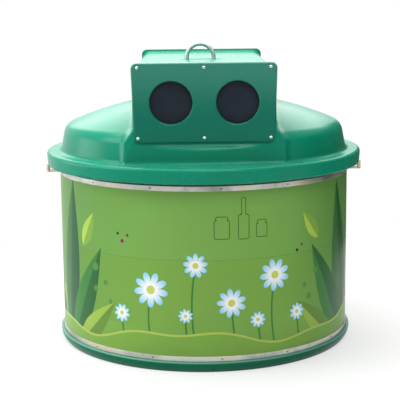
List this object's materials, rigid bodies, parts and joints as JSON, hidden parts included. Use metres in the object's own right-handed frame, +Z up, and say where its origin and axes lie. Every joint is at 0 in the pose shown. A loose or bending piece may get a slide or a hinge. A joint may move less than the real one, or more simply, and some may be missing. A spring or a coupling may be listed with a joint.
{
  "type": "waste container",
  "caption": "Round drum container for collected glass, with a hooded lid, flapped round inlets, a lifting ring and drop doors in its base.",
  "frame": {"origin": "drum axis at the ground, under the middle of the base skirt", "axes": "+Z up, +X to the right seen from the front, -Y to the front inlets"},
  "size_m": [1.658, 1.6308, 1.532],
  "materials": {
    "drum_print": "printed self-adhesive film on sheet steel",
    "band_aluminium": "rolled aluminium strip",
    "rivet": "blind rivets",
    "skirt_moulding": "moulded polyethylene",
    "frame_paint": "dark painted steel",
    "bright_steel": "drawn bar",
    "seal_rubber": "extruded rubber",
    "bush_plastic": "turned plastic",
    "tray_plastic": "moulded polyethylene",
    "galvanised": "hot-dip galvanised steel",
    "lid_moulding": "glossy moulded glass-fibre polyester",
    "plate_moulding": "glossy moulded glass-fibre polyester",
    "screw_steel": "stainless dome heads",
    "flap_rubber": "sheet rubber",
    "catch_metal": "zinc-plated and weathered steel"
  },
  "bodies": {
    "drum": {"drum_shell": "drum_print", "seam_strip": "band_aluminium", "seam_rivets": "rivet", "top_band": "band_aluminium", "top_band_rivets": "rivet", "bottom_band": "band_aluminium", "bottom_band_rivets": "rivet", "base_skirt": "skirt_moulding", "base_ring": "frame_paint", "hinge_beam": "frame_paint", "hinge_shaft_left": "bright_steel", "hinge_shaft_right": "bright_steel", "door_seal": "seal_rubber", "top_ring": "frame_paint", "bridge_beam": "frame_paint", "mast_tube": "frame_paint", "rod_bushes": "bush_plastic", "index_sleeve": "bush_plastic", "rain_tray": "tray_plastic", "catch_bracket_left": "galvanised", "catch_bracket_right": "galvanised"},
    "lifting_gear": {"lifting_ring": "galvanised", "ring_head": "galvanised", "lift_rod": "bright_steel", "guide_stub": "bright_steel", "index_pin": "bright_steel", "crosshead": "galvanised"},
    "door_left": {"door_left": "galvanised"},
    "door_right": {"door_right": "galvanised"},
    "link_left": {"link_left": "galvanised", "link_left_pins": "bright_steel"},
    "link_right": {"link_right": "galvanised", "link_right_pins": "bright_steel"},
    "lid": {"lid_shell": "lid_moulding", "lid_gasket": "seal_rubber", "front_plate": "plate_moulding", "rear_plate": "plate_moulding", "front_plate_screws": "screw_steel", "rear_plate_screws": "screw_steel", "front_flap_rod": "bright_steel", "rear_flap_rod": "bright_steel", "keeper_left": "galvanised", "keeper_right": "galvanised"},
    "flap_front_left": {"flap_front_left": "flap_rubber"},
    "flap_front_right": {"flap_front_right": "flap_rubber"},
    "flap_rear_left": {"flap_rear_left": "flap_rubber"},
    "flap_rear_right": {"flap_rear_right": "flap_rubber"},
    "catch_left": {"catch_left": "catch_metal"},
    "catch_right": {"catch_right": "catch_metal"}
  },
  "joints": [
    {"name": "door_left_hinge", "type": "hinge", "parent": "drum", "child": "door_left", "pos_m": [-0.04, 0, 0.022], "axis": [0, -1, 0], "range_deg": [0, 80]},
    {"name": "door_right_hinge", "type": "hinge", "parent": "drum", "child": "door_right", "pos_m": [0.04, 0, 0.022], "axis": [0, 1, 0], "range_deg": [0, 80]},
    {"name": "rod_slide", "type": "slide", "parent": "drum", "child": "lifting_gear", "axis": [0, 0, -1], "range_m": [0, 0.1029]},
    {"name": "link_left_hinge", "type": "hinge", "parent": "door_left", "child": "link_left", "pos_m": [-0.10128, 0, 0.07342], "axis": [0, 1, 0], "range_deg": [0, 80]},
    {"name": "link_right_hinge", "type": "hinge", "parent": "door_right", "child": "link_right", "pos_m": [0.10128, 0, 0.07342], "axis": [0, -1, 0], "range_deg": [0, 80]},
    {"name": "lid_lift", "type": "slide", "parent": "drum", "child": "lid", "axis": [0, 0, 1], "range_m": [0, 0.62]},
    {"name": "flap_front_left_hinge", "type": "hinge", "parent": "lid", "child": "flap_front_left", "pos_m": [-0.156, -0.628, 1.398], "axis": [1, 0, 0], "range_deg": [0, 80]},
    {"name": "flap_front_right_hinge", "type": "hinge", "parent": "lid", "child": "flap_front_right", "pos_m": [0.156, -0.628, 1.398], "axis": [1, 0, 0], "range_deg": [0, 80]},
    {"name": "flap_rear_left_hinge", "type": "hinge", "parent": "lid", "child": "flap_rear_left", "pos_m": [0.156, 0.628, 1.398], "axis": [-1, 0, 0], "range_deg": [0, 80]},
    {"name": "flap_rear_right_hinge", "type": "hinge", "parent": "lid", "child": "flap_rear_right", "pos_m": [-0.156, 0.628, 1.398], "axis": [-1, 0, 0], "range_deg": [0, 80]},
    {"name": "catch_left_turn", "type": "hinge", "parent": "drum", "child": "catch_left", "pos_m": [-0.772, 0, 0.9], "axis": [0, 0, 1], "range_deg": [0, 90]},
    {"name": "catch_right_turn", "type": "hinge", "parent": "drum", "child": "catch_right", "pos_m": [0.772, 0, 0.9], "axis": [0, 0, -1], "range_deg": [0, 90]}
  ],
  "couplings": [
    {"joint": "door_right_hinge", "follows": "door_left_hinge", "ratio": 1},
    {"joint": "rod_slide", "follows": "door_left_hinge", "m_per_rad": 0.073658},
    {"joint": "link_left_hinge", "follows": "door_left_hinge", "ratio": 1},
    {"joint": "link_right_hinge", "follows": "door_left_hinge", "ratio": 1}
  ]
}
